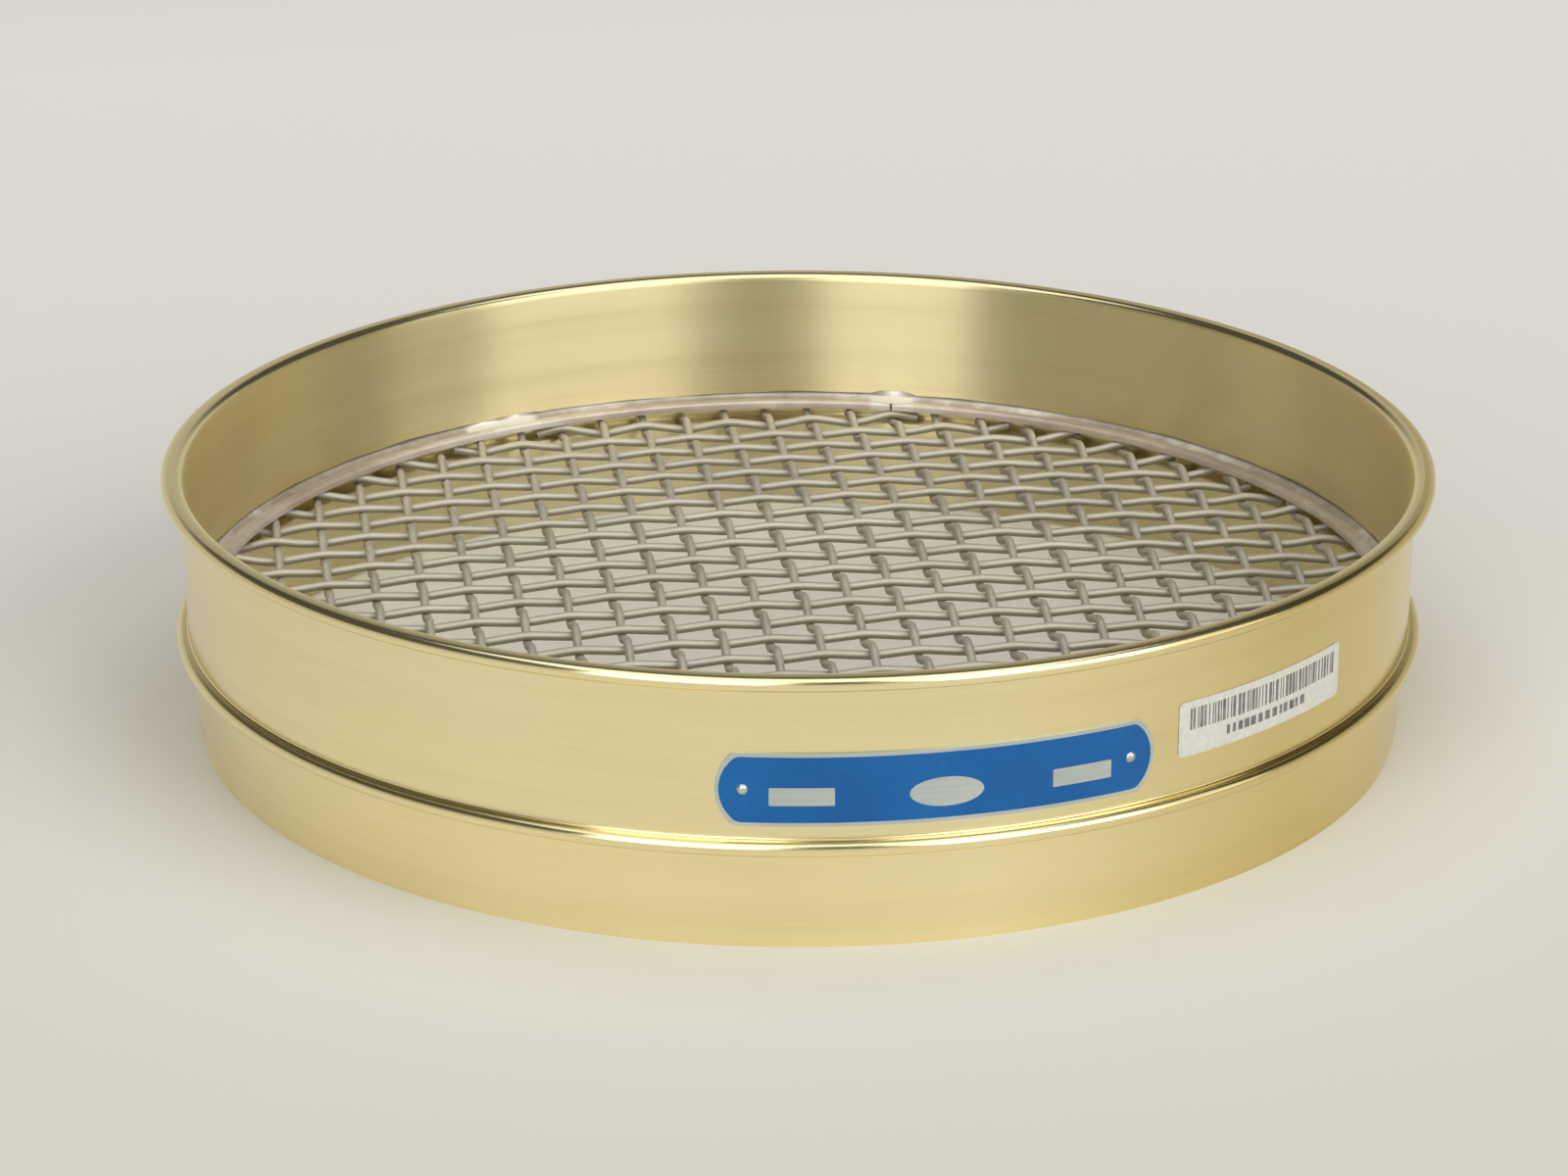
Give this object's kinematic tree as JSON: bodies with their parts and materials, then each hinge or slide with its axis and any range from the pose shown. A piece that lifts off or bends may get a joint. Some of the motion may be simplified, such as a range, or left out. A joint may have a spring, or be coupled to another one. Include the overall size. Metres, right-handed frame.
{
  "type": "test_sieve",
  "caption": "Round metal test sieve with a rolled rim, coarse woven wire cloth under a soldered ring, a nesting skirt below and a riveted nameplate",
  "frame": {"origin": "centre of the bottom edge of the skirt, on the axis of the sieve", "axes": "+Z is the axis of the sieve, up through the rim; -Y is the way the nameplate faces; +X is to the right of a reader who faces the nameplate"},
  "size_m": [0.3163, 0.3164, 0.067],
  "materials": {
    "brass": "spun, with fine turning marks round the wall, clear lacquer",
    "bright_ring": "tinned, dull bright",
    "solder": "wiped soft solder, slightly uneven",
    "cloth_wire": "drawn wire, satin",
    "plate_enamel": "blue printed on bare metal, with bare windows and border",
    "rivet_metal": "bright domed head",
    "label_paper": "white paper, matt, with grey printed bars"
  },
  "bodies": {
    "root": {"sieve_frame": "brass", "retaining_ring": "bright_ring", "solder_seam": "solder", "warp_wire_01": "cloth_wire", "warp_wire_02": "cloth_wire", "warp_wire_03": "cloth_wire", "warp_wire_04": "cloth_wire", "warp_wire_05": "cloth_wire", "warp_wire_06": "cloth_wire", "warp_wire_07": "cloth_wire", "warp_wire_08": "cloth_wire", "warp_wire_09": "cloth_wire", "warp_wire_10": "cloth_wire", "warp_wire_11": "cloth_wire", "warp_wire_12": "cloth_wire", "warp_wire_13": "cloth_wire", "warp_wire_14": "cloth_wire", "warp_wire_15": "cloth_wire", "warp_wire_16": "cloth_wire", "warp_wire_17": "cloth_wire", "warp_wire_18": "cloth_wire", "warp_wire_19": "cloth_wire", "warp_wire_20": "cloth_wire", "warp_wire_21": "cloth_wire", "warp_wire_22": "cloth_wire", "warp_wire_23": "cloth_wire", "warp_wire_24": "cloth_wire", "warp_wire_25": "cloth_wire", "weft_wire_01": "cloth_wire", "weft_wire_02": "cloth_wire", "weft_wire_03": "cloth_wire", "weft_wire_04": "cloth_wire", "weft_wire_05": "cloth_wire", "weft_wire_06": "cloth_wire", "weft_wire_07": "cloth_wire", "weft_wire_08": "cloth_wire", "weft_wire_09": "cloth_wire", "weft_wire_10": "cloth_wire", "weft_wire_11": "cloth_wire", "weft_wire_12": "cloth_wire", "weft_wire_13": "cloth_wire", "weft_wire_14": "cloth_wire", "weft_wire_15": "cloth_wire", "weft_wire_16": "cloth_wire", "weft_wire_17": "cloth_wire", "weft_wire_18": "cloth_wire", "weft_wire_19": "cloth_wire", "weft_wire_20": "cloth_wire", "weft_wire_21": "cloth_wire", "weft_wire_22": "cloth_wire", "weft_wire_23": "cloth_wire", "weft_wire_24": "cloth_wire", "weft_wire_25": "cloth_wire", "nameplate": "plate_enamel", "nameplate_rivet_left": "rivet_metal", "nameplate_rivet_right": "rivet_metal", "stock_label": "label_paper"}
  },
  "joints": []
}
